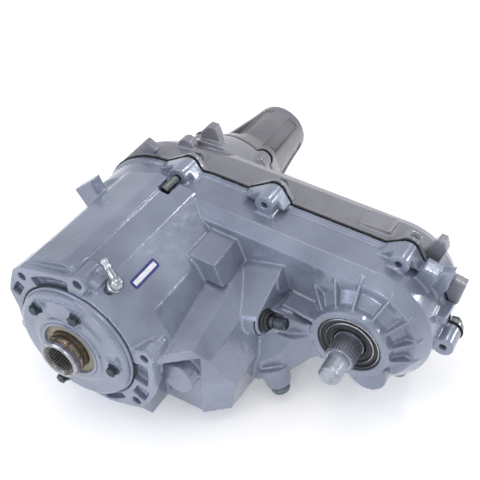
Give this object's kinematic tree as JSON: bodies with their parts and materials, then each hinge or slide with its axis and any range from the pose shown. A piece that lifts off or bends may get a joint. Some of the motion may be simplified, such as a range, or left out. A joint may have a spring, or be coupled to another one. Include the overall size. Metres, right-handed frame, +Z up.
{
  "type": "transfer case",
  "caption": "Part-time chain-drive transfer case with a planetary low range, adapter flange, splined input hub, offset front output and a tapered tail housing.",
  "frame": {"origin": "centre of the adapter bolt circle on the input flange face", "axes": "-Y out of the input flange along the input axis, +Y to the tail, +X towards the front output, +Z up"},
  "size_m": [0.4916, 0.5062, 0.2189],
  "materials": {
    "grey_cast_paint": "glossy",
    "black_sealant": "satin",
    "dark_fastener": "dark zinc",
    "tan_seal": "matte",
    "black_rubber": "satin",
    "ground_steel": "machined",
    "bearing_steel": "polished",
    "gear_steel": "hardened",
    "bronze": "machined",
    "plain_aluminium": "as cast",
    "green_plug": "satin",
    "bright_zinc": "bright zinc",
    "label_film": "printed film"
  },
  "bodies": {
    "case": {"front_case": "grey_cast_paint", "rear_case": "grey_cast_paint", "tail_housing": "grey_cast_paint", "bearing_retainer": "grey_cast_paint", "case_sealant": "black_sealant", "retainer_sealant": "black_sealant", "tail_sealant": "black_sealant", "retainer_bolts": "dark_fastener", "case_bolts": "dark_fastener", "tail_bolts": "dark_fastener", "detent_plug": "dark_fastener", "case_stud": "dark_fastener", "input_seal": "tan_seal", "front_output_seal": "black_rubber", "tail_seal": "black_rubber", "sector_seal": "black_rubber", "shift_rail": "ground_steel", "case_dowels": "ground_steel", "input_bearing": "bearing_steel", "front_output_front_bearing": "bearing_steel", "front_output_rear_bearing": "bearing_steel", "main_shaft_rear_bearing": "bearing_steel", "annulus_gear": "gear_steel", "drive_chain": "gear_steel", "input_snap_ring": "gear_steel", "mode_spring": "gear_steel", "detent_plunger": "gear_steel", "detent_spring": "gear_steel", "case_magnet": "gear_steel", "tail_bushing": "bronze", "sector_bushing": "bronze", "oil_pump": "plain_aluminium", "pickup_tube": "plain_aluminium", "pickup_screen": "plain_aluminium", "fill_plug": "plain_aluminium", "drain_plug": "plain_aluminium", "switch_plug": "green_plug", "vent_fitting": "bright_zinc", "id_label": "label_film"},
    "input_gear": {"input_gear": "ground_steel"},
    "planet_carrier": {"planet_carrier": "gear_steel", "planet_pins": "ground_steel", "planet_thrust_washers": "bronze"},
    "main_shaft": {"main_shaft": "ground_steel", "mode_hub": "gear_steel", "tone_ring": "gear_steel"},
    "range_hub": {"range_hub": "gear_steel"},
    "mode_sleeve": {"mode_sleeve": "gear_steel"},
    "drive_sprocket": {"drive_sprocket": "gear_steel"},
    "front_output": {"front_output_shaft": "ground_steel", "driven_sprocket": "gear_steel", "front_output_clip": "gear_steel"},
    "shift_sector": {"sector_shaft": "ground_steel", "sector_plate": "gear_steel"},
    "range_fork": {"range_fork": "plain_aluminium"},
    "mode_fork": {"mode_fork": "plain_aluminium"},
    "planet_1": {"planet_gear_1": "gear_steel"},
    "planet_2": {"planet_gear_2": "gear_steel"},
    "planet_3": {"planet_gear_3": "gear_steel"},
    "planet_4": {"planet_gear_4": "gear_steel"}
  },
  "joints": [
    {"name": "main_shaft_spin", "type": "hinge", "parent": "case", "child": "main_shaft", "pos_m": [0, 0.2, 0], "axis": [0, 1, 0], "continuous": true},
    {"name": "input_spin", "type": "hinge", "parent": "case", "child": "input_gear", "pos_m": [0, 0, 0], "axis": [0, 1, 0], "continuous": true},
    {"name": "carrier_spin", "type": "hinge", "parent": "case", "child": "planet_carrier", "pos_m": [0, 0.05, 0], "axis": [0, 1, 0], "continuous": true},
    {"name": "drive_sprocket_spin", "type": "hinge", "parent": "case", "child": "drive_sprocket", "pos_m": [0, 0.222, 0], "axis": [0, 1, 0], "continuous": true},
    {"name": "front_output_spin", "type": "hinge", "parent": "case", "child": "front_output", "pos_m": [0.25717, 0.222, 0], "axis": [0, 1, 0], "continuous": true},
    {"name": "sector_turn", "type": "hinge", "parent": "case", "child": "shift_sector", "pos_m": [0.166, 0.12, 0.01], "axis": [0.9659, 0, 0.2588], "range_deg": [0, 40]},
    {"name": "range_fork_slide", "type": "slide", "parent": "case", "child": "range_fork", "axis": [0, 1, 0], "range_m": [0, 0.014]},
    {"name": "range_hub_slide", "type": "slide", "parent": "main_shaft", "child": "range_hub", "axis": [0, 1, 0], "range_m": [0, 0.014]},
    {"name": "mode_fork_slide", "type": "slide", "parent": "case", "child": "mode_fork", "axis": [0, 1, 0], "range_m": [-0.01, 0]},
    {"name": "mode_sleeve_slide", "type": "slide", "parent": "main_shaft", "child": "mode_sleeve", "axis": [0, 1, 0], "range_m": [-0.01, 0]},
    {"name": "planet_1_spin", "type": "hinge", "parent": "planet_carrier", "child": "planet_1", "pos_m": [0.04299, 0.054, 0.04299], "axis": [0, 1, 0], "continuous": true},
    {"name": "planet_2_spin", "type": "hinge", "parent": "planet_carrier", "child": "planet_2", "pos_m": [-0.04299, 0.054, 0.04299], "axis": [0, 1, 0], "continuous": true},
    {"name": "planet_3_spin", "type": "hinge", "parent": "planet_carrier", "child": "planet_3", "pos_m": [-0.04299, 0.054, -0.04299], "axis": [0, 1, 0], "continuous": true},
    {"name": "planet_4_spin", "type": "hinge", "parent": "planet_carrier", "child": "planet_4", "pos_m": [0.04299, 0.054, -0.04299], "axis": [0, 1, 0], "continuous": true}
  ],
  "couplings": [
    {"joint": "input_spin", "follows": "main_shaft_spin", "ratio": 1},
    {"joint": "carrier_spin", "follows": "main_shaft_spin", "ratio": 0.36719},
    {"joint": "drive_sprocket_spin", "follows": "main_shaft_spin", "ratio": 1},
    {"joint": "front_output_spin", "follows": "main_shaft_spin", "ratio": 1},
    {"joint": "range_fork_slide", "follows": "sector_turn", "m_per_rad": 0.020054},
    {"joint": "range_hub_slide", "follows": "sector_turn", "m_per_rad": 0.020054},
    {"joint": "mode_sleeve_slide", "follows": "mode_fork_slide", "ratio": 1},
    {"joint": "planet_1_spin", "follows": "main_shaft_spin", "ratio": -1.7495},
    {"joint": "planet_2_spin", "follows": "main_shaft_spin", "ratio": -1.7495},
    {"joint": "planet_3_spin", "follows": "main_shaft_spin", "ratio": -1.7495},
    {"joint": "planet_4_spin", "follows": "main_shaft_spin", "ratio": -1.7495}
  ]
}
